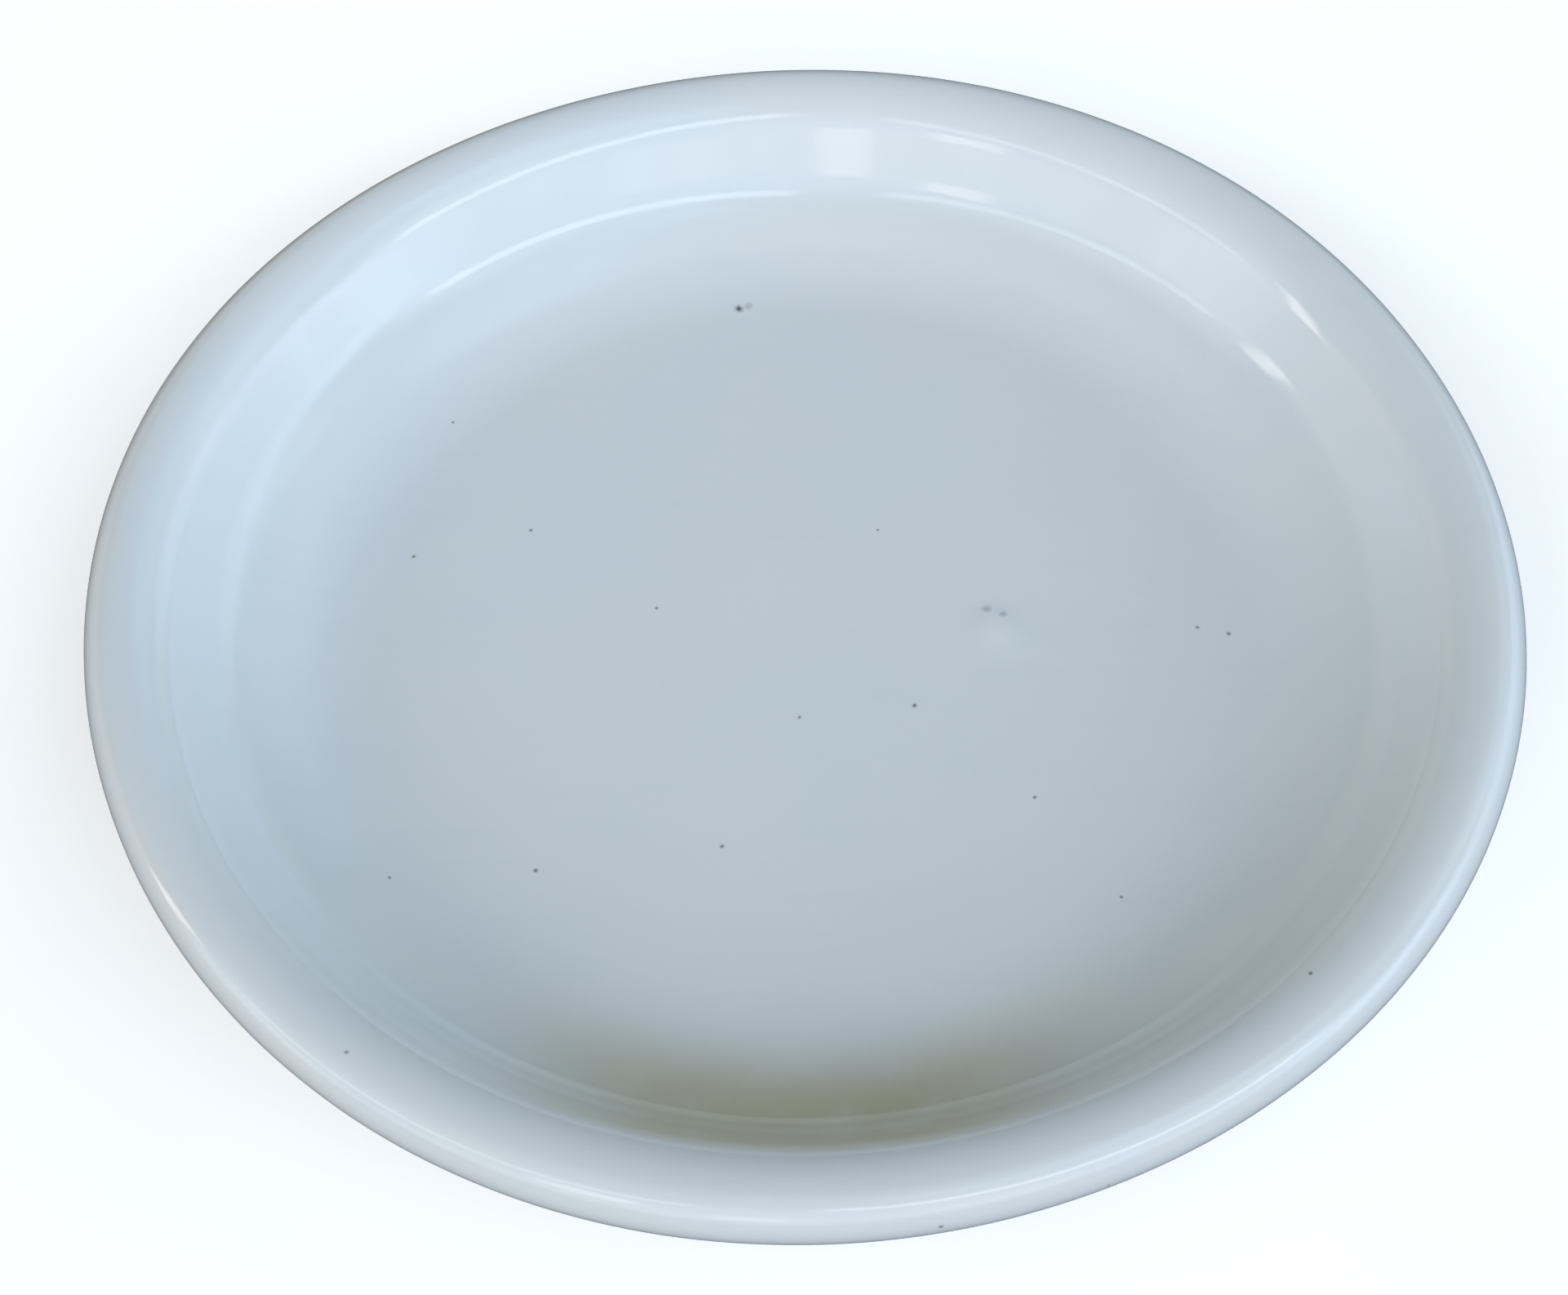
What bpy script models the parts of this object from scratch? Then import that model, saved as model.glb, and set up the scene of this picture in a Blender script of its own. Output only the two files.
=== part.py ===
"""A shallow, flat-bottomed evaporating dish of glazed porcelain, 250 mm across, modelled at rest.

The dish is turned about +Z and stands on its foot ring, with the origin at the centre of the foot's face.
It is one fired piece made of two materials, laid down one after the other: the porcelain body, and the coat
of glaze over the inside, the rim and the outer wall, which stops above the bare foot. Each is a closed solid.

The section is a chain of arcs and straight runs that meet smoothly. Every arc keeps its centre at any depth
below the face of the glaze, and only its radius changes, so both faces of the glaze, the face of the body and
the outer wall all run parallel.
"""

import math

import bpy

# Driving dimensions, in metres. The face of the glaze is the face that is seen and touched.
RIM_RADIUS = 0.125  # outermost face of the rim
FLOOR_HEIGHT = 0.0066  # inside floor above the bench
BASE_CURVE_RADIUS = 0.0400  # first, gentle hollow curve up from the floor
BASE_SLOPE = math.radians(26)  # where that curve ends
BASE_RUN = 0.0050  # straight stretch after it, along its slope
WALL_CURVE_RADIUS = 0.0160  # second, tighter hollow curve, up into the wall
WALL_SLOPE = math.radians(57)  # steepest slope of the wall
WALL_RUN = 0.0076  # straight stretch of the wall, along its slope
SHOULDER_RADIUS = 0.0120  # round from the wall up to the crest of the rim
NOSE_RADIUS = 0.0055  # outer round of the rim, from its crest to its underside
UNDERCUT_RADIUS = 0.0070  # hollow under the rim
THICKNESS = 0.0052  # wall and floor, glazed

FOOT_OUTER_RADIUS = 0.0840
FOOT_WIDTH = 0.0050
FOOT_HEIGHT = 0.0014

GLAZE_THICKNESS = 0.0004
GLAZE_GAP = 0.0003  # between the two solids
BODY_DEPTH = GLAZE_THICKNESS + GLAZE_GAP  # face of the body below the face of the glaze
GLAZE_LINE_HEIGHT = 0.0028  # where the glaze stops on the outside

TURN_STEPS = 48
ARC_STEP = math.radians(24)  # widest turn between two points of an arc
MERGE_DISTANCE = 0.00001
SHARP_ANGLE = math.radians(35)

BODY_COLOUR = (0.84, 0.82, 0.76, 1.0)
GLAZE_COLOUR = (0.80, 0.86, 0.88, 1.0)

# Where the arcs end and where their centres are, as radii and heights. The radii are counted in from the rim,
# and the heights up from the floor.
UP, OUT, DOWN = math.pi / 2, 0.0, -math.pi / 2
WALL_ALONG = (math.cos(WALL_SLOPE), math.sin(WALL_SLOPE))
WALL_FACING = (math.sin(WALL_SLOPE), -math.cos(WALL_SLOPE))  # out of the outer wall
CREST_RADIUS = RIM_RADIUS - NOSE_RADIUS
WALL_TOP_RADIUS = CREST_RADIUS - SHOULDER_RADIUS * math.sin(WALL_SLOPE)
WALL_FOOT_RADIUS = WALL_TOP_RADIUS - WALL_RUN * math.cos(WALL_SLOPE)
WALL_CURVE_MIDDLE = WALL_FOOT_RADIUS - WALL_CURVE_RADIUS * math.sin(WALL_SLOPE)
BASE_TOP_RADIUS = WALL_CURVE_MIDDLE + WALL_CURVE_RADIUS * math.sin(BASE_SLOPE)
BASE_BEND_RADIUS = BASE_TOP_RADIUS - BASE_RUN * math.cos(BASE_SLOPE)
FLOOR_RADIUS = BASE_BEND_RADIUS - BASE_CURVE_RADIUS * math.sin(BASE_SLOPE)

BASE_CURVE_HEIGHT = FLOOR_HEIGHT + BASE_CURVE_RADIUS
BASE_BEND_HEIGHT = BASE_CURVE_HEIGHT - BASE_CURVE_RADIUS * math.cos(BASE_SLOPE)
BASE_TOP_HEIGHT = BASE_BEND_HEIGHT + BASE_RUN * math.sin(BASE_SLOPE)
WALL_CURVE_HEIGHT = BASE_TOP_HEIGHT + WALL_CURVE_RADIUS * math.cos(BASE_SLOPE)
WALL_FOOT_HEIGHT = WALL_CURVE_HEIGHT - WALL_CURVE_RADIUS * math.cos(WALL_SLOPE)
WALL_TOP_HEIGHT = WALL_FOOT_HEIGHT + WALL_RUN * math.sin(WALL_SLOPE)
CREST_HEIGHT = WALL_TOP_HEIGHT + SHOULDER_RADIUS * (1 - math.cos(WALL_SLOPE))

BASE_CENTRE = (FLOOR_RADIUS, BASE_CURVE_HEIGHT)
WALL_CENTRE = (WALL_CURVE_MIDDLE, WALL_CURVE_HEIGHT)
SHOULDER_CENTRE = (CREST_RADIUS, CREST_HEIGHT - SHOULDER_RADIUS)
NOSE_CENTRE = (CREST_RADIUS, CREST_HEIGHT - NOSE_RADIUS)


def undercut_centre():
    """Centre of the hollow that touches both the nose of the rim and the outer wall."""
    reach = THICKNESS + UNDERCUT_RADIUS
    start = (WALL_FOOT_RADIUS + WALL_FACING[0] * reach, WALL_FOOT_HEIGHT + WALL_FACING[1] * reach)
    to_nose = (NOSE_CENTRE[0] - start[0], NOSE_CENTRE[1] - start[1])
    along = to_nose[0] * WALL_ALONG[0] + to_nose[1] * WALL_ALONG[1]
    aside_squared = to_nose[0] ** 2 + to_nose[1] ** 2 - along**2
    climb = along - math.sqrt((NOSE_RADIUS + UNDERCUT_RADIUS) ** 2 - aside_squared)
    return start[0] + WALL_ALONG[0] * climb, start[1] + WALL_ALONG[1] * climb


def arc(centre, radius, start, end):
    """Points of an arc from one angle to another, both ends included."""
    steps = max(2, math.ceil(abs(end - start) / ARC_STEP))
    angles = [start + (end - start) * i / steps for i in range(steps + 1)]
    return [(centre[0] + radius * math.cos(a), centre[1] + radius * math.sin(a)) for a in angles]


def face_section(depth, heel_end):
    """The face at a depth below the glaze's: from the axis over the floor, the wall and the rim, and down
    the outside to the angle heel_end on the heel."""
    hollow = undercut_centre()
    nose_end = math.atan2(hollow[1] - NOSE_CENTRE[1], hollow[0] - NOSE_CENTRE[0])
    base_end, wall_end = DOWN + BASE_SLOPE, DOWN + WALL_SLOPE
    outside = THICKNESS - depth
    points = [(0.0, FLOOR_HEIGHT - depth)]
    points += arc(BASE_CENTRE, BASE_CURVE_RADIUS + depth, DOWN, base_end)
    points += arc(WALL_CENTRE, WALL_CURVE_RADIUS + depth, base_end, wall_end)
    points += arc(SHOULDER_CENTRE, SHOULDER_RADIUS - depth, UP + WALL_SLOPE, UP)
    points += arc(NOSE_CENTRE, NOSE_RADIUS - depth, UP, OUT)[1:]
    points += arc(NOSE_CENTRE, NOSE_RADIUS - depth, OUT, nose_end)[1:]
    points += arc(hollow, UNDERCUT_RADIUS + depth, nose_end + math.pi, wall_end + math.pi)[1:]
    points += arc(WALL_CENTRE, WALL_CURVE_RADIUS + outside, wall_end, base_end)
    points += arc(BASE_CENTRE, BASE_CURVE_RADIUS + outside, base_end, heel_end)
    return points


def heel_angle_at_height(height, depth):
    """Angle on the heel, seen from the centre of the base's curve, at a height above the bench."""
    return -math.asin((BASE_CENTRE[1] - height) / (BASE_CURVE_RADIUS + THICKNESS - depth))


def heel_angle_at_radius(radius, depth):
    """Angle on the heel, seen from the centre of the base's curve, at a radius from the axis."""
    return -math.acos((radius - BASE_CENTRE[0]) / (BASE_CURVE_RADIUS + THICKNESS - depth))


def foot_section():
    """The bare foot ring and the underside turned back inside it, down to the axis."""
    inner_radius = FOOT_OUTER_RADIUS - FOOT_WIDTH
    return [
        (FOOT_OUTER_RADIUS, 0.0),
        (inner_radius, 0.0),
        (inner_radius, FOOT_HEIGHT),
        (0.0, FOOT_HEIGHT),
    ]


def ceramic(name, colour, roughness):
    """An opaque fired material."""
    material = bpy.data.materials.new(name)
    material.use_nodes = True
    shader = material.node_tree.nodes["Principled BSDF"]
    shader.inputs["Base Color"].default_value = colour
    shader.inputs["Roughness"].default_value = roughness
    shader.inputs["Metallic"].default_value = 0.0
    return material


def turned(name, section, material):
    """A section of (radius, height) points, turned about +Z into a closed solid."""
    mesh = bpy.data.meshes.new(name)
    vertices = [(radius, 0.0, height) for radius, height in section]
    mesh.from_pydata(vertices, [(i, i + 1) for i in range(len(vertices) - 1)], [])
    solid = bpy.data.objects.new(name, mesh)
    bpy.context.scene.collection.objects.link(solid)
    screw = solid.modifiers.new("turn", "SCREW")
    screw.axis = "Z"
    screw.angle = 2 * math.pi
    screw.steps = TURN_STEPS
    screw.render_steps = TURN_STEPS
    screw.use_merge_vertices = True
    screw.merge_threshold = MERGE_DISTANCE
    bpy.context.view_layer.update()
    turned_mesh = bpy.data.meshes.new_from_object(solid.evaluated_get(bpy.context.evaluated_depsgraph_get()))
    solid.modifiers.remove(screw)
    solid.data = turned_mesh
    turned_mesh.name = name
    turned_mesh.shade_smooth()
    turned_mesh.set_sharp_from_angle(angle=SHARP_ANGLE)
    turned_mesh.materials.append(material)
    return solid


def make_body():
    """The porcelain body with its foot ring, 0.3 mm below the glaze all over."""
    heel_end = heel_angle_at_radius(FOOT_OUTER_RADIUS, BODY_DEPTH)
    section = face_section(BODY_DEPTH, heel_end) + foot_section()
    return turned("porcelain_body", section, ceramic("bare_porcelain", BODY_COLOUR, 0.6))


def make_glaze():
    """The glaze: its outer face out to the glaze line, and its inner face back to the axis."""
    heel_end = heel_angle_at_height(GLAZE_LINE_HEIGHT, 0.0)
    section = face_section(0.0, heel_end) + face_section(GLAZE_THICKNESS, heel_end)[::-1]
    return turned("glaze_coat", section, ceramic("glaze", GLAZE_COLOUR, 0.12))


def main():
    for leftover in list(bpy.data.objects):
        bpy.data.objects.remove(leftover)
    make_body()
    make_glaze()


main()
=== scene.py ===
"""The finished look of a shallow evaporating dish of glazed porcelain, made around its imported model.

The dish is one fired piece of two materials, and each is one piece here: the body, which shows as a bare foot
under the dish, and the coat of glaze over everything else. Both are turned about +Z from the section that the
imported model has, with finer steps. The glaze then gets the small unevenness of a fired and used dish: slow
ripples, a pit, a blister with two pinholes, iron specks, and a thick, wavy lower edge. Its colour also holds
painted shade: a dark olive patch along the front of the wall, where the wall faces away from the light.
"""

import math

import bmesh
import bpy
from mathutils import Matrix, Vector, noise


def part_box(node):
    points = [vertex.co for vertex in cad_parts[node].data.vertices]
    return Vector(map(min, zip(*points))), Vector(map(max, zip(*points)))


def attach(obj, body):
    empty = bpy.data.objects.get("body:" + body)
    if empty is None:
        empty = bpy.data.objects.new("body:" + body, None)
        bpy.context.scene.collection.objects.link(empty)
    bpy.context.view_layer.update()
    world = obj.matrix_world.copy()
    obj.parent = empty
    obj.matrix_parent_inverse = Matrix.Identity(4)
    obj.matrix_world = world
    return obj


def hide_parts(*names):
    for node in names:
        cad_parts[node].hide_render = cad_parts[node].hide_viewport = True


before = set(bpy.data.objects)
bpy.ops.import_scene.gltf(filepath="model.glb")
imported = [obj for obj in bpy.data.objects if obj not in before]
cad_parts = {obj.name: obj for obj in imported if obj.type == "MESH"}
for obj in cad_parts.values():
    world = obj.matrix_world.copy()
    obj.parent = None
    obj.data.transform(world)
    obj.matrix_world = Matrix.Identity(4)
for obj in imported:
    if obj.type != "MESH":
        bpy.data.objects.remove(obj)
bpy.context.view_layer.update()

MM = 0.001
GLAZE_LOW, GLAZE_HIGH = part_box("glaze_coat")
BODY_LOW, BODY_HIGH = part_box("porcelain_body")

# The section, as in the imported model. Sizes that show in its boxes are read from there.
RIM_RADIUS = GLAZE_HIGH.x
CREST_HEIGHT = GLAZE_HIGH.z
GLAZE_LINE_HEIGHT = GLAZE_LOW.z
BODY_DEPTH = RIM_RADIUS - BODY_HIGH.x  # face of the body below the face of the glaze
GLAZE_DEPTH = 0.93 * BODY_DEPTH  # inner face of the glaze, close on the body
FLOOR_HEIGHT = 6.6 * MM
BASE_CURVE_RADIUS = 40 * MM
BASE_SLOPE = math.radians(26)
BASE_RUN = 5 * MM
WALL_CURVE_RADIUS = 16 * MM
WALL_SLOPE = math.radians(57)
WALL_RUN = 7.6 * MM
SHOULDER_RADIUS = 12 * MM
NOSE_RADIUS = 5.5 * MM
UNDERCUT_RADIUS = 7 * MM
THICKNESS = 5.2 * MM
FOOT_OUTER_RADIUS = 84 * MM
FOOT_WIDTH = 5 * MM
FOOT_HEIGHT = 1.4 * MM
FOOT_ROUND = 0.5 * MM

TURN_STEPS = 288
FINE_STEP = math.radians(3)
COARSE_STEP = math.radians(12)
EDGE_TUCK = math.radians(0.9)  # how far the glaze's inner face stops short of its outer one
BEAD_STEP = math.radians(36)
FOOT_STEP = math.radians(24)
FLOOR_RING_STEP = 1.6 * MM
INNER_FLOOR_RINGS = 6
BODY_FLOOR_RINGS = 10
UNDERSIDE_RINGS = 24
SAME_POINT = 0.001 * MM

UP, OUT, DOWN = math.pi / 2, 0.0, -math.pi / 2
WALL_ALONG = (math.cos(WALL_SLOPE), math.sin(WALL_SLOPE))
WALL_FACING = (math.sin(WALL_SLOPE), -math.cos(WALL_SLOPE))
CREST_RADIUS = RIM_RADIUS - NOSE_RADIUS
WALL_TOP_RADIUS = CREST_RADIUS - SHOULDER_RADIUS * math.sin(WALL_SLOPE)
WALL_FOOT_RADIUS = WALL_TOP_RADIUS - WALL_RUN * WALL_ALONG[0]
WALL_CURVE_MIDDLE = WALL_FOOT_RADIUS - WALL_CURVE_RADIUS * math.sin(WALL_SLOPE)
BASE_TOP_RADIUS = WALL_CURVE_MIDDLE + WALL_CURVE_RADIUS * math.sin(BASE_SLOPE)
BASE_BEND_RADIUS = BASE_TOP_RADIUS - BASE_RUN * math.cos(BASE_SLOPE)
FLOOR_RADIUS = BASE_BEND_RADIUS - BASE_CURVE_RADIUS * math.sin(BASE_SLOPE)

WALL_TOP_HEIGHT = CREST_HEIGHT - SHOULDER_RADIUS * (1 - math.cos(WALL_SLOPE))
WALL_FOOT_HEIGHT = WALL_TOP_HEIGHT - WALL_RUN * WALL_ALONG[1]
BASE_CENTRE = (FLOOR_RADIUS, FLOOR_HEIGHT + BASE_CURVE_RADIUS)
WALL_CENTRE = (WALL_CURVE_MIDDLE, WALL_FOOT_HEIGHT + WALL_CURVE_RADIUS * math.cos(WALL_SLOPE))
SHOULDER_CENTRE = (CREST_RADIUS, CREST_HEIGHT - SHOULDER_RADIUS)
NOSE_CENTRE = (CREST_RADIUS, CREST_HEIGHT - NOSE_RADIUS)

# Marks in the glaze, as (degrees about the axis, distance from the axis, width), both in millimetres.
PIT = (98.8, 79.4, 2.4)
PIT_SIDE = (97.4, 79.6, 1.8)
BLISTER = (-3.5, 35, 8)
PINHOLES = [(6, 33.7, 2.0), (3.5, 36.5, 1.7)]
IRON_SPECKS = [
    (167, 74, 0.9), (-132, 68.5, 0.9), (-107, 48.5, 0.8), (-42, 26.5, 1.0), (-92, 20, 0.7),
    (-43, 54.5, 0.7), (-47, 78, 0.7), (-2, 77, 0.9), (-1, 71.5, 0.8), (171, 27, 0.7),
    (57, 26, 0.6), (156, 55.5, 0.8), (144, 83, 0.6), (-47, 114.5, 0.8), (-126, 119, 0.8),
    (-143, 88, 0.6), (-81, 124.9, 0.9), (-69, 125, 0.8),
]
MARK_DEPTHS = [(PIT, 0.45 * MM), (PIT_SIDE, 0.2 * MM)] + [(hole, 0.12 * MM) for hole in PINHOLES]
BLISTER_HEIGHT = 0.4 * MM
REFINED_REACHES = (3.0, 1.6)  # how far the finer points reach round a mark, in widths of it

# A crater's own radius, and its lip's radius and width, in radii of the mark. The lip's height is in depths.
CRATER_RADIUS = 1.1
LIP_RADIUS = 1.15
LIP_WIDTH = 0.5
LIP_HEIGHT = 0.15

# The painted shade, dark olive, along the front of the wall, which faces away from the light: where it fades
# in up the curve and out on the wall, by distance from the axis, how far it reaches to the two sides, where
# it fades out behind the front, and its least and greatest share.
PAINTED_SHADE_STARTS = (80 * MM, 98 * MM)
PAINTED_SHADE_ENDS = (109.5 * MM, 113.5 * MM)
PAINTED_SHADE_SIDES = (-37 * MM, 35 * MM)
PAINTED_SHADE_SIDE_SOFT = 20 * MM
PAINTED_SHADE_FRONT = (-60 * MM, -30 * MM)
PAINTED_SHADE_SHARE = (0.45, 0.75)

GLAZE_WHITE = (0.77, 0.78, 0.78)
GLAZE_CLOUD = (0.75, 0.77, 0.78)
GLAZE_POOLED = (0.73, 0.77, 0.78)
GLAZE_THIN = (0.78, 0.77, 0.74)
GLAZE_GRAIN = (0.60, 0.66, 0.70)
SPECK_DARK = (0.07, 0.06, 0.055)
SPECK_STAIN = (0.42, 0.38, 0.33)
BLISTER_WHITE = (0.86, 0.87, 0.87)
PINHOLE_GREY = (0.30, 0.36, 0.42)
PIT_DARK = (0.05, 0.045, 0.045)
PIT_STAIN = (0.33, 0.30, 0.29)
# Dark olive painted shade for the front of the wall, which faces away from the light.
PAINTED_SHADE_OLIVE = (0.53, 0.47, 0.27)
BARE_WHITE = (0.74, 0.71, 0.65)
BARE_CREAM = (0.70, 0.65, 0.57)
FLASH_TAN = (0.62, 0.48, 0.33)
RUBBED_GREY = (0.42, 0.41, 0.39)
GRIT_BROWN = (0.35, 0.27, 0.20)

RIPPLE_LENGTH = 14 * MM
RIPPLE_HEIGHT = 0.03 * MM
PEEL_LENGTH = 4.5 * MM
PEEL_HEIGHT = 0.004 * MM
WARP_LOBES = [(3, math.radians(-145), 0.15 * MM), (4, math.radians(106), 0.35 * MM)]
SADDLE_HEIGHT = 0.2 * MM
SADDLE_PHASE = 2.4
EDGE_BAND = 3.0 * MM  # height above the glaze line over which its wandering dies away
EDGE_WANDER = 1.2 * MM
EDGE_SLOW, EDGE_QUICK = 2.5, 11  # how quickly the two parts of the wandering turn about the axis
EDGE_QUICK_SHARE = 0.4
HEEL_CLIMB = 0.4  # rise of the heel for each step outwards, about where the glaze ends


def on_dish(degrees, distance_mm, height=FLOOR_HEIGHT):
    """The point at an angle and a distance from the axis."""
    turn = math.radians(degrees)
    return Vector((math.cos(turn) * distance_mm * MM, math.sin(turn) * distance_mm * MM, height))


# ---------------------------------------------------------------------------------------------- section


def arc(centre, radius, start, end, step):
    """Points of an arc from one angle to another, both ends included."""
    steps = max(2, math.ceil(abs(end - start) / step))
    angles = [start + (end - start) * i / steps for i in range(steps + 1)]
    return [(centre[0] + radius * math.cos(a), centre[1] + radius * math.sin(a)) for a in angles]


def undercut_centre():
    """Centre of the hollow that touches both the nose of the rim and the outer wall."""
    reach = THICKNESS + UNDERCUT_RADIUS
    start = (WALL_FOOT_RADIUS + WALL_FACING[0] * reach, WALL_FOOT_HEIGHT + WALL_FACING[1] * reach)
    to_nose = (NOSE_CENTRE[0] - start[0], NOSE_CENTRE[1] - start[1])
    along = to_nose[0] * WALL_ALONG[0] + to_nose[1] * WALL_ALONG[1]
    aside_squared = to_nose[0] ** 2 + to_nose[1] ** 2 - along**2
    climb = along - math.sqrt((NOSE_RADIUS + UNDERCUT_RADIUS) ** 2 - aside_squared)
    return start[0] + WALL_ALONG[0] * climb, start[1] + WALL_ALONG[1] * climb


def inside_curves(depth):
    """The arcs of the inside, from the floor up to the crest, as centre, radius, first and last angle."""
    base_end, wall_end = DOWN + BASE_SLOPE, DOWN + WALL_SLOPE
    return [
        (BASE_CENTRE, BASE_CURVE_RADIUS + depth, DOWN, base_end),
        (WALL_CENTRE, WALL_CURVE_RADIUS + depth, base_end, wall_end),
        (SHOULDER_CENTRE, SHOULDER_RADIUS - depth, UP + WALL_SLOPE, UP),
    ]


def outside_curves(depth, heel_end):
    """The arcs of the outside, from the crest down to the angle heel_end on the heel."""
    base_end, wall_end = DOWN + BASE_SLOPE, DOWN + WALL_SLOPE
    hollow = undercut_centre()
    nose_end = math.atan2(hollow[1] - NOSE_CENTRE[1], hollow[0] - NOSE_CENTRE[0])
    return [
        (NOSE_CENTRE, NOSE_RADIUS - depth, UP, OUT),
        (NOSE_CENTRE, NOSE_RADIUS - depth, OUT, nose_end),
        (hollow, UNDERCUT_RADIUS + depth, nose_end + math.pi, wall_end + math.pi),
        (WALL_CENTRE, WALL_CURVE_RADIUS + THICKNESS - depth, wall_end, base_end),
        (BASE_CENTRE, BASE_CURVE_RADIUS + THICKNESS - depth, base_end, heel_end),
    ]


def face_section(depth, heel_end, step, floor_rings):
    """The face at a depth below the glaze's, without the point on the axis: over the floor, the wall and the
    rim, and down the outside to the angle heel_end on the heel."""
    points = [(FLOOR_RADIUS * i / floor_rings, FLOOR_HEIGHT - depth) for i in range(1, floor_rings)]
    for curve in inside_curves(depth) + outside_curves(depth, heel_end):
        stretch = arc(*curve, step)
        joined = math.dist(points[-1], stretch[0]) < SAME_POINT
        points += stretch[1:] if joined else stretch
    return points


def heel_angle_at_height(height, depth):
    """Angle on the heel, seen from the centre of the base's curve, at a height above the bench."""
    return -math.asin((BASE_CENTRE[1] - height) / (BASE_CURVE_RADIUS + THICKNESS - depth))


def heel_angle_at_radius(radius, depth):
    """Angle on the heel, seen from the centre of the base's curve, at a radius from the axis."""
    return -math.acos((radius - BASE_CENTRE[0]) / (BASE_CURVE_RADIUS + THICKNESS - depth))


# ------------------------------------------------------------------------------------------------- mesh


def turned(section, first_height, last_height):
    """A closed surface turned about +Z from a section whose two ends meet the axis at the given heights."""
    mesh = bmesh.new()
    rings = []
    turns = [2 * math.pi * i / TURN_STEPS for i in range(TURN_STEPS)]
    for radius, height in section:
        rings.append([mesh.verts.new((radius * math.cos(t), radius * math.sin(t), height)) for t in turns])
    ends = [mesh.verts.new((0, 0, first_height)), mesh.verts.new((0, 0, last_height))]
    for i in range(TURN_STEPS):
        j = (i + 1) % TURN_STEPS
        mesh.faces.new((ends[0], rings[0][i], rings[0][j]))
        mesh.faces.new((ends[1], rings[-1][j], rings[-1][i]))
        for inner, outer in zip(rings, rings[1:]):
            mesh.faces.new((inner[i], outer[i], outer[j], inner[j]))
    mesh.verts.index_update()
    return mesh


def edge_bead(outer_end, inner_end):
    """Points of the round edge that joins the two faces of the glaze, between their last points."""
    middle = [(a + b) / 2 for a, b in zip(outer_end, inner_end)]
    reach = math.dist(outer_end, inner_end) / 2
    start = math.atan2(outer_end[1] - middle[1], outer_end[0] - middle[0])
    return arc(middle, reach, start, start - math.pi, BEAD_STEP)[1:-1]


def finished(name, mesh):
    """The mesh as a smooth piece in the scene."""
    data = bpy.data.meshes.new(name)
    mesh.to_mesh(data)
    mesh.free()
    piece = bpy.data.objects.new(name, data)
    bpy.context.scene.collection.objects.link(piece)
    data.shade_smooth()
    return piece


# ----------------------------------------------------------------------------------------------- relief


def fade(distance, radius):
    """1 at the middle, falling smoothly to 0 at the radius."""
    t = min(distance / radius, 1.0)
    return (1 - t * t) ** 2


def crater(point, centre, radius, depth):
    """A round hollow with a low lip round it, as a burst bubble leaves."""
    distance = (point - centre).length
    lip = fade(abs(distance - LIP_RADIUS * radius), LIP_WIDTH * radius)
    return LIP_HEIGHT * depth * lip - depth * fade(distance, CRATER_RADIUS * radius)


def mark_relief(point):
    """The pit, the blister and its pinholes: how far they stand off the section, along its normal."""
    height = 0.0
    for (degrees, distance, width), depth in MARK_DEPTHS:
        centre = on_dish(degrees, distance)
        if (point - centre).length < 2 * width * MM:
            height += crater(point, centre, width / 2 * MM, depth)
    degrees, distance, width = BLISTER
    return height + BLISTER_HEIGHT * fade((point - on_dish(degrees, distance)).length, width * MM)


def ripple(point):
    """Slow unevenness of the fired glaze, along its normal."""
    slow = noise.noise(point / RIPPLE_LENGTH)
    quick = noise.noise(point / PEEL_LENGTH + Vector((7, 3, 1)))
    return RIPPLE_HEIGHT * slow + PEEL_HEIGHT * quick


def warp(point):
    """The slight warp of the dish, a little out of round and out of flat at the rim. The foot stays flat."""
    turn = math.atan2(point.y, point.x)
    share = (math.hypot(point.x, point.y) / RIM_RADIUS) ** 4
    outward = sum(size * math.cos(lobes * turn + phase) for lobes, phase, size in WARP_LOBES)
    upward = SADDLE_HEIGHT * math.sin(2 * turn + SADDLE_PHASE) * min(point.z / FLOOR_HEIGHT, 1.0)
    return Vector((math.cos(turn) * outward, math.sin(turn) * outward, upward)) * share


def wavy_edge(point):
    """Where a point near the glaze's lower edge goes, so that the edge wanders up and down the heel."""
    up_from_line = point.z - GLAZE_LINE_HEIGHT
    if up_from_line > EDGE_BAND:
        return point
    turn = math.atan2(point.y, point.x)
    slow = noise.noise(Vector((math.cos(turn), math.sin(turn), 0)) * EDGE_SLOW)
    quick = noise.noise(Vector((math.cos(turn), math.sin(turn), 3)) * EDGE_QUICK)
    slide = EDGE_WANDER * (slow + EDGE_QUICK_SHARE * quick) * fade(max(up_from_line, 0), EDGE_BAND)
    return point + Vector((math.cos(turn), math.sin(turn), HEEL_CLIMB)) * slide


# ----------------------------------------------------------------------------------------------- pieces


def refine_marks(mesh):
    """Adds points to the tagged surface where the pit and the pinholes need them."""
    for degrees, distance, width in [PIT, *PINHOLES]:
        centre = on_dish(degrees, distance)
        for reach in REFINED_REACHES:
            near = [f for f in mesh.faces if (f.calc_center_median() - centre).length < reach * width * MM]
            edges = {edge for face in near if all(v.tag for v in face.verts) for edge in face.edges}
            bmesh.ops.subdivide_edges(mesh, edges=list(edges), cuts=1, use_grid_fill=True)
    many_sided = [face for face in mesh.faces if len(face.verts) > 4]
    for middle in bmesh.ops.poke(mesh, faces=many_sided)["verts"]:
        middle.tag = True


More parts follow.
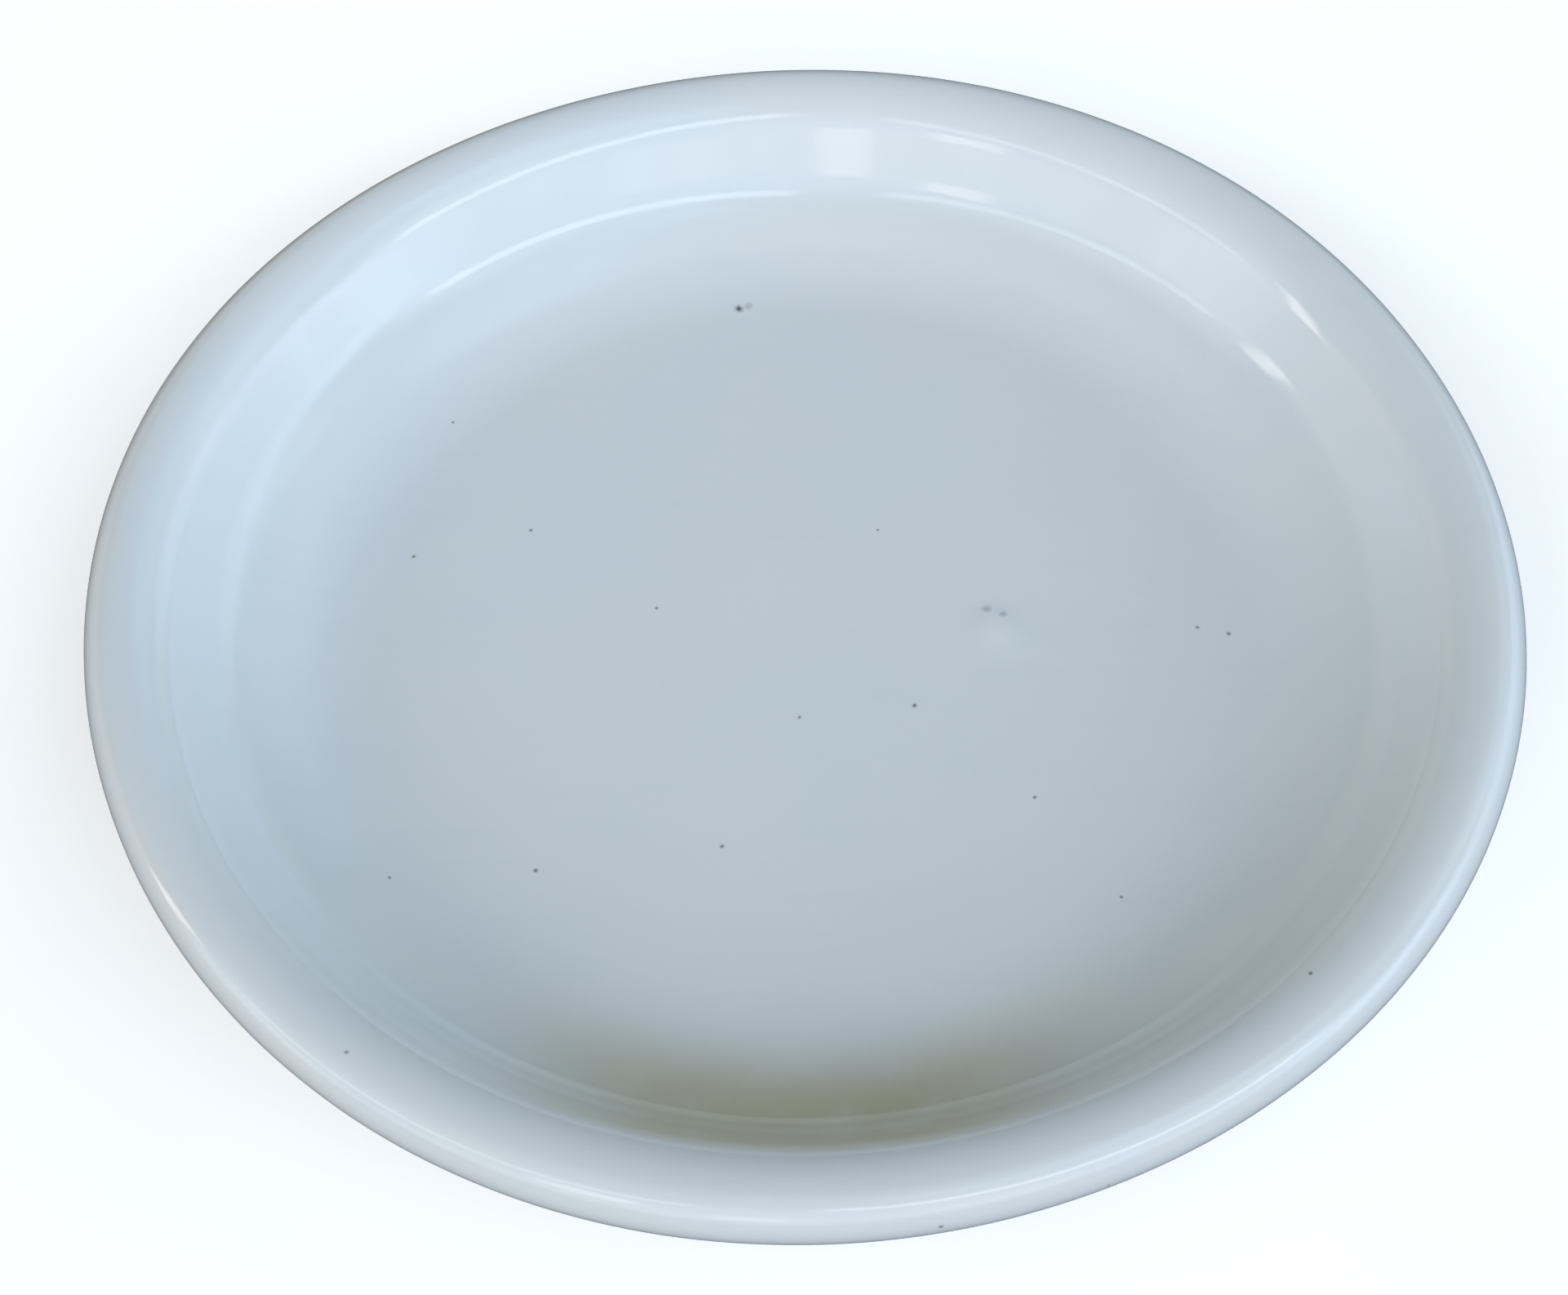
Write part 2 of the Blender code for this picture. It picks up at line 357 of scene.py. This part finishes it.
def make_glaze():
    """The coat of glaze. Its lower edge is a round bead that meets the body."""
    heel_end = heel_angle_at_height(GLAZE_LINE_HEIGHT, 0.0)
    floor_rings = round(FLOOR_RADIUS / FLOOR_RING_STEP)
    outer = face_section(0.0, heel_end, FINE_STEP, floor_rings)
    inner = face_section(GLAZE_DEPTH, heel_end + EDGE_TUCK, COARSE_STEP, INNER_FLOOR_RINGS)
    bead = edge_bead(outer[-1], inner[-1])
    mesh = turned(outer + bead + inner[::-1], FLOOR_HEIGHT, FLOOR_HEIGHT - GLAZE_DEPTH)
    face_points = len(outer) * TURN_STEPS
    axis_point = face_points + (len(bead) + len(inner)) * TURN_STEPS
    for vertex in mesh.verts:
        vertex.tag = vertex.index < face_points or vertex.index == axis_point
    refine_marks(mesh)
    mesh.normal_update()
    normals = [vertex.normal.copy() for vertex in mesh.verts]
    for vertex, normal in zip(mesh.verts, normals):
        point = vertex.co.copy()
        vertex.co = wavy_edge(point) + warp(point)
        if vertex.tag:
            vertex.co += normal * (ripple(point) + mark_relief(point))
    return finished("glaze", mesh)


def make_body():
    """The porcelain body, of which the foot and the underside show."""
    heel_end = heel_angle_at_radius(FOOT_OUTER_RADIUS + FOOT_ROUND, BODY_DEPTH)
    inner_radius = FOOT_OUTER_RADIUS - FOOT_WIDTH
    rounds = [
        (FOOT_OUTER_RADIUS - FOOT_ROUND, FOOT_ROUND, OUT, DOWN),
        (inner_radius + FOOT_ROUND, FOOT_ROUND, DOWN, -math.pi),
    ]
    section = face_section(BODY_DEPTH, heel_end, FINE_STEP, BODY_FLOOR_RINGS)
    for radius, height, start, end in rounds:
        section += arc((radius, height), FOOT_ROUND, start, end, FOOT_STEP)
    section += [(inner_radius * i / UNDERSIDE_RINGS, FOOT_HEIGHT) for i in range(UNDERSIDE_RINGS, 0, -1)]
    mesh = turned(section, FLOOR_HEIGHT - BODY_DEPTH, FOOT_HEIGHT)
    for vertex in mesh.verts:
        vertex.co += warp(vertex.co)
    return finished("bare_body", mesh)


# -------------------------------------------------------------------------------------------- materials


class Nodes:
    """Short calls for making the nodes of a material or a world, and joining them."""

    def __init__(self, owner, shader, coordinates="Object"):
        owner.use_nodes = True
        self.tree = owner.node_tree
        self.shader = self.tree.nodes[shader]
        given = self.add("ShaderNodeTexCoord").outputs
        self.place, self.facing = given[coordinates], given["Normal"]

    def add(self, kind, settings=None, **inputs):
        """A new node. An input's value is a number, a vector, a colour, or another node's output."""
        node = self.tree.nodes.new(kind)
        for key, value in (settings or {}).items():
            setattr(node, key, value)
        for key, value in inputs.items():
            self.feed(node.inputs[key.replace("_", " ")], value)
        return node

    def feed(self, socket, value):
        if isinstance(value, bpy.types.NodeSocket):
            self.tree.links.new(value, socket)
        else:
            socket.default_value = value

    def math(self, operation, first, second=0.0):
        node = self.add("ShaderNodeMath", {"operation": operation})
        self.feed(node.inputs[0], first)
        self.feed(node.inputs[1], second)
        return node.outputs[0]

    def times(self, *values):
        product = values[0]
        for value in values[1:]:
            product = self.math("MULTIPLY", product, value)
        return product

    def vector_math(self, operation, *values):
        """The outputs of a vector sum. A single number stands for three equal ones."""
        node = self.add("ShaderNodeVectorMath", {"operation": operation})
        for socket, value in zip(node.inputs, values):
            self.feed(socket, value)
        return node.outputs

    def split(self, vector):
        """The X, Y and Z of a vector."""
        return self.add("ShaderNodeSeparateXYZ", Vector=vector).outputs

    def between(self, value, low, high, soft):
        """1 from low to high, falling to 0 over a soft edge centred on each."""
        rise = self.ramp(value, low - soft, low + soft)
        return self.times(rise, self.ramp(value, high - soft, high + soft, 1.0, 0.0))

    def stretch(self, factors):
        """The object's coordinates, multiplied axis by axis."""
        return self.vector_math("MULTIPLY", self.place, factors)["Vector"]

    def noise(self, scale, detail=2.0, roughness=0.5, place=None):
        """Noise from 0 to 1, with the given number of waves to a metre."""
        sockets = {"Vector": place or self.place, "Scale": scale, "Detail": detail, "Roughness": roughness}
        return self.add("ShaderNodeTexNoise", **sockets).outputs["Fac"]

    def ramp(self, value, low, high, first=0.0, last=1.0):
        """The value taken smoothly from low..high to first..last, and held beyond them."""
        settings = {"interpolation_type": "SMOOTHSTEP"}
        sockets = {"Value": value, "From_Min": low, "From_Max": high, "To_Min": first, "To_Max": last}
        return self.add("ShaderNodeMapRange", settings, **sockets).outputs["Result"]

    def mix(self, share, first, second, blend="MIX"):
        node = self.add("ShaderNodeMix", {"data_type": "RGBA", "blend_type": blend})
        self.feed(node.inputs[0], share)
        for socket, value in ((node.inputs[6], first), (node.inputs[7], second)):
            self.feed(socket, (*value, 1.0) if isinstance(value, tuple) else value)
        return node.outputs[2]

    def axis_distance(self):
        """Distance from the dish's axis, and height above the bench."""
        place = self.split(self.place)
        squared = self.math("ADD", self.times(place["X"], place["X"]), self.times(place["Y"], place["Y"]))
        return self.math("SQRT", squared), place["Z"]

    def spots(self, marks, edge, ragged=0.0):
        """1 inside each mark, falling to 0 at its edge. A mark is its centre and its width. It is 1 within
        the share edge of that width, and ragged is how far its outline wanders."""
        place = self.place
        if ragged:
            shift = self.add("ShaderNodeTexNoise", Vector=place, Scale=900.0, Detail=2.0).outputs["Color"]
            centred = self.vector_math("SUBTRACT", shift, (0.5, 0.5, 0.5))["Vector"]
            place = self.vector_math("MULTIPLY_ADD", centred, (ragged, ragged, ragged), place)["Vector"]
        total = None
        for centre, width in marks:
            away = self.vector_math("DISTANCE", place, centre)["Value"]
            spot = self.ramp(away, edge * width / 2, width / 2, 1.0, 0.0)
            total = spot if total is None else self.math("MAXIMUM", total, spot)
        return total

    def bump(self, height, distance):
        """The facing of a surface that stands off by the distance where the height is 1."""
        return self.add("ShaderNodeBump", Height=height, Distance=distance, Strength=1.0).outputs["Normal"]


def marks_at(marks, growth=1.0):
    """Centres and widths of marks on the surface, in metres."""
    return [(surface_point(degrees, distance), width * MM * growth) for degrees, distance, width in marks]


def inside_height(away):
    """Height of the glaze's upper face at a distance from the axis."""
    if away < FLOOR_RADIUS:
        return FLOOR_HEIGHT
    for centre, radius, start, end in inside_curves(0.0) + [(NOSE_CENTRE, NOSE_RADIUS, UP, OUT)]:
        reach = min(abs(away - centre[0]), radius)
        if away <= centre[0] + radius * math.cos(end) + SAME_POINT:
            side = math.copysign(1, math.sin(start))
            return centre[1] + side * math.sqrt(radius**2 - reach**2)
    return NOSE_CENTRE[1]


def surface_point(degrees, distance_mm):
    """The point of the glaze's upper face at an angle and a distance from the axis."""
    return on_dish(degrees, distance_mm, inside_height(distance_mm * MM))


def painted_shade_film(nodes, away):
    """How strong the painted shade is: along the front of the wall, which faces away from the light, on faces
    that look up.
    """
    place, facing = nodes.split(nodes.place), nodes.split(nodes.facing)
    along_wall = nodes.times(nodes.ramp(away, *PAINTED_SHADE_STARTS), nodes.ramp(away, *PAINTED_SHADE_ENDS, 1.0, 0.0))
    in_front = nodes.times(
        nodes.between(place["X"], *PAINTED_SHADE_SIDES, PAINTED_SHADE_SIDE_SOFT),
        nodes.ramp(place["Y"], *PAINTED_SHADE_FRONT, 1.0, 0.0),
    )
    patchy = nodes.ramp(nodes.noise(70.0, 3.0), 0.2, 0.6, *PAINTED_SHADE_SHARE)
    return nodes.times(along_wall, in_front, nodes.ramp(facing["Z"], 0.0, 0.2), patchy)


def glaze_material():
    """Glossy glaze over white porcelain: bluish where it has pooled, warmer where it has run thin, with its
    specks and marks, and painted shade along the front of the wall."""
    material = bpy.data.materials.new("glaze")
    nodes = Nodes(material, "Principled BSDF")
    away, height = nodes.axis_distance()

    cloud = nodes.ramp(nodes.noise(22.0, 3.0), 0.35, 0.65)
    colour = nodes.mix(cloud, GLAZE_WHITE, GLAZE_CLOUD)
    pooled = nodes.between(away, 98 * MM, 108 * MM, 4 * MM)
    colour = nodes.mix(nodes.times(pooled, 0.5), colour, GLAZE_POOLED)
    on_rim = nodes.times(nodes.ramp(away, 117.5 * MM, 123.5 * MM), nodes.ramp(height, 23.5 * MM, 26.5 * MM))
    thin = nodes.times(on_rim, nodes.ramp(nodes.noise(45.0, 2.0), 0.3, 0.7, 0.25, 0.8))
    colour = nodes.mix(thin, colour, GLAZE_THIN)
    # Painted shade: dark olive along the front of the wall.
    colour = nodes.mix(painted_shade_film(nodes, away), colour, PAINTED_SHADE_OLIVE)

    grain = nodes.ramp(nodes.noise(1300.0, 3.0, 0.6), 0.3, 0.7, 0.0, 0.05)
    colour = nodes.mix(grain, colour, GLAZE_GRAIN)
    streak = nodes.noise(1.0, 3.0, 0.55, nodes.stretch((28.0, 240.0, 28.0)))
    colour = nodes.mix(nodes.ramp(streak, 0.5, 0.75, 0.0, 0.07), colour, GLAZE_GRAIN)

    stain = nodes.spots(marks_at(IRON_SPECKS, 2.0), 0.1)
    colour = nodes.mix(nodes.times(stain, 0.18), colour, SPECK_STAIN)
    speck = nodes.spots(marks_at(IRON_SPECKS, 1.25), 0.1, 0.35 * MM)
    colour = nodes.mix(nodes.times(speck, 0.75), colour, SPECK_DARK)
    milky = nodes.spots(marks_at([BLISTER], 1.3), 0.1, 2.5 * MM)
    colour = nodes.mix(nodes.times(milky, 0.4), colour, BLISTER_WHITE)
    hole = nodes.spots(marks_at(PINHOLES, 1.4), 0.0, 0.5 * MM)
    colour = nodes.mix(nodes.times(hole, 0.65), colour, PINHOLE_GREY)
    burst = nodes.spots(marks_at([PIT, PIT_SIDE], 1.3), 0.3, 0.8 * MM)
    colour = nodes.mix(nodes.times(burst, 0.45), colour, PIT_STAIN)
    bottom = nodes.spots(marks_at([PIT], 0.7), 0.3, 0.8 * MM)
    colour = nodes.mix(nodes.times(bottom, 0.9), colour, PIT_DARK)
    nodes.feed(nodes.shader.inputs["Base Color"], colour)

    gloss = nodes.ramp(nodes.noise(60.0, 4.0, 0.6), 0.35, 0.7, 0.07, 0.12)
    dull = nodes.times(nodes.math("MAXIMUM", burst, hole), 0.5)
    nodes.feed(nodes.shader.inputs["Roughness"], nodes.math("ADD", gloss, dull))
    nodes.feed(nodes.shader.inputs["Normal"], nodes.bump(nodes.noise(420.0, 2.0), 0.02 * MM))
    return material


def body_material():
    """Bare fired porcelain: matte and gritty, stained along the glaze line and rubbed grey on the foot."""
    material = bpy.data.materials.new("bare_porcelain")
    nodes = Nodes(material, "Principled BSDF")
    away, height = nodes.axis_distance()
    colour = nodes.mix(nodes.ramp(nodes.noise(35.0, 4.0), 0.3, 0.7), BARE_WHITE, BARE_CREAM)
    flash = nodes.times(nodes.ramp(away, 91.5 * MM, 97 * MM), nodes.noise(90.0, 3.0))
    colour = nodes.mix(flash, colour, FLASH_TAN)
    rubbed = nodes.times(nodes.ramp(height, 0.1 * MM, 0.4 * MM, 1.0, 0.0), nodes.noise(160.0, 5.0, 0.7))
    colour = nodes.mix(rubbed, colour, RUBBED_GREY)
    grit = nodes.ramp(nodes.noise(2600.0, 2.0), 0.66, 0.74, 0.0, 0.6)
    colour = nodes.mix(grit, colour, GRIT_BROWN)
    nodes.feed(nodes.shader.inputs["Base Color"], colour)
    nodes.feed(nodes.shader.inputs["Roughness"], nodes.ramp(nodes.noise(300.0, 3.0), 0.3, 0.7, 0.6, 0.8))
    nodes.feed(nodes.shader.inputs["Normal"], nodes.bump(nodes.noise(1800.0, 3.0, 0.6), 0.05 * MM))
    return material


glaze = make_glaze()
glaze.data.materials.append(glaze_material())
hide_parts("glaze_coat")
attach(glaze, "root")

body = make_body()
body.data.materials.append(body_material())
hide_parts("porcelain_body")
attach(body, "root")


# ------------------------------------------------------------------------------------------------ stage

CAMERA_DISTANCE = 3.5 * RIM_RADIUS
CAMERA_ELEVATION = math.radians(52.3)
CAMERA_ROLL = math.radians(-1.14)
CAMERA_LENS = 57.7
AIM = Vector((-3.2 * MM, -21.7 * MM, CREST_HEIGHT))

# The room's light, as patches of its sphere: azimuths in degrees from the camera's side, growing towards +X,
# elevations, how much the patch climbs for each degree of azimuth, its soft edge, and its radiance.
ROOM_LIGHTS = [
    # A wide band of bluish daylight in front, strongest low down and bluest towards +X.
    ((-86, -27), (11, 28), 0, 6, (1.25, 1.42, 1.58)),
    ((-27, 27), (11, 28), 0, 6, (1.34, 1.42, 1.47)),
    ((27, 93), (11, 28), 0, 6, (1.09, 1.35, 1.65)),
    ((-92, -27), (28, 43), 0, 6, (0.96, 1.16, 1.38)),
    ((-27, 78), (28, 43), 0, 6, (1.09, 1.32, 1.56)),
    ((-100, -27), (43, 57), 0, 6, (0.72, 0.80, 0.88)),
    ((-27, 75), (43, 57), 0, 6, (0.82, 0.94, 1.08)),
    # Lower daylight at both sides.
    ((-135, -60), (4, 26), 0, 6, (0.68, 0.68, 0.68)),
    ((62, 135), (4, 28), 0, 6, (1.01, 1.29, 1.65)),
    ((-135, -50), (-12, 4), 0, 6, (0.35, 0.35, 0.35)),
    ((62, 135), (-12, 4), 0, 6, (0.30, 0.35, 0.45)),
    # The dim ceiling, bluish over +X, and the far side of the room, bluish high up towards +X and dark
    # straight across from the camera.
    ((-120, 115), (57, 100), 0, 6, (0.22, 0.20, 0.13)),
    ((20, 115), (62, 77), 0, 6, (0.45, 0.72, 0.98)),
    ((98, 124), (14, 55), 0, 8, (0.62, 0.62, 0.58)),
    ((124, 150), (14, 55), 0, 8, (0.24, 0.24, 0.10)),
    ((108, 160), (30, 56), 0, 8, (0.33, 0.58, 0.82)),
    ((135, 166), (4, 22), 0, 3, (0.45, 0.45, 0.36)),
    ((-166, -135), (4, 22), 0, 3, (0.50, 0.47, 0.38)),
    # Long lamps, which draw the bright lines along the wall and the rim.
    ((3, 70), (53, 61), -0.33, 2, (2.80, 3.10, 3.40)),
    ((-80, -16), (55, 62), 0.35, 2, (1.70, 1.90, 2.00)),
    # Panes of a window, and a tall, narrow opening towards -X.
    ((-11, -2), (20, 31), 0, 1, (2.00, 1.55, 1.45)),
    ((-34, -22), (26, 38), 0, 1, (3.00, 2.60, 2.40)),
    ((14, 32), (19, 24), 0, 1.5, (0.90, 0.70, 0.70)),
    ((-94, -88), (17, 33), 0, 1.5, (4.80, 4.50, 4.20)),
]
PALE_SURROUND = (0.86, 0.88, 0.90)


def make_camera():
    camera = bpy.data.objects.new("camera", bpy.data.cameras.new("camera"))
    bpy.context.scene.collection.objects.link(camera)
    camera.data.lens = CAMERA_LENS
    camera.data.sensor_width = 36
    camera.data.clip_start = 0.01
    away = Vector((0, -math.cos(CAMERA_ELEVATION), math.sin(CAMERA_ELEVATION)))
    camera.location = Vector((0, 0, CREST_HEIGHT)) + away * CAMERA_DISTANCE
    facing = (AIM - camera.location).to_track_quat("-Z", "Y").to_matrix().to_4x4()
    camera.matrix_world = Matrix.Translation(camera.location) @ facing @ Matrix.Rotation(CAMERA_ROLL, 4, "Z")
    bpy.context.scene.camera = camera


def board_material(name, colour, glow):
    """Plain, matte board."""
    material = bpy.data.materials.new(name)
    nodes = Nodes(material, "Principled BSDF")
    tone = nodes.ramp(nodes.noise(8.0, 3.0), 0.3, 0.7, 0.98, 1.02)
    nodes.feed(nodes.shader.inputs["Base Color"], nodes.mix(1.0, colour, tone, "MULTIPLY"))
    nodes.shader.inputs["Roughness"].default_value = 0.9
    nodes.shader.inputs["Emission Color"].default_value = (1.0, 0.98, 0.95, 1.0)
    nodes.shader.inputs["Emission Strength"].default_value = glow
    return material


def make_floor(name, height, material):
    """A wide board that the glaze doesn't mirror."""
    bpy.ops.mesh.primitive_circle_add(vertices=64, radius=3.0, fill_type="NGON", location=(0, 0, height))
    floor = bpy.context.object
    floor.name = name
    floor.data.materials.append(material)
    floor.visible_glossy = False
    return floor


def make_floors():
    """The pale board that is seen, and a darker one just under it, whose light reaches the dish instead."""
    seen = make_floor("floor", 0.0, board_material("pale_board", (0.88, 0.88, 0.88), 0.4))
    seen.visible_diffuse = False
    seen.visible_shadow = False
    darker = make_floor("bounce_floor", -0.2 * MM, board_material("grey_board", (0.40, 0.41, 0.41), 0.0))
    darker.visible_camera = False


def make_world():
    """The room that lights the dish and shows in its glaze. The camera sees a plain pale surround instead."""
    world = bpy.data.worlds.new("studio")
    bpy.context.scene.world = world
    nodes = Nodes(world, "Background", "Generated")
    way = nodes.split(nodes.place)
    azimuth = nodes.math("DEGREES", nodes.math("ARCTAN2", way["X"], nodes.times(way["Y"], -1.0)))
    elevation = nodes.math("DEGREES", nodes.math("ARCSINE", way["Z"]))
    light = (0.0, 0.0, 0.0)
    for azimuths, elevations, climb, soft, radiance in ROOM_LIGHTS:
        level = nodes.math("SUBTRACT", elevation, nodes.times(azimuth, climb))
        patch = nodes.times(nodes.between(azimuth, *azimuths, soft), nodes.between(level, *elevations, soft))
        light = nodes.vector_math("MULTIPLY_ADD", patch, radiance, light)["Vector"]
    mottle = nodes.ramp(nodes.noise(7.0, 3.0), 0.3, 0.7, 0.86, 1.14)
    light = nodes.mix(1.0, light, mottle, "MULTIPLY")
    seen = nodes.add("ShaderNodeLightPath").outputs["Is Camera Ray"]
    nodes.feed(nodes.shader.inputs["Color"], nodes.mix(seen, light, PALE_SURROUND))


make_camera()
make_floors()
make_world()
bpy.context.scene.view_settings.view_transform = "Standard"
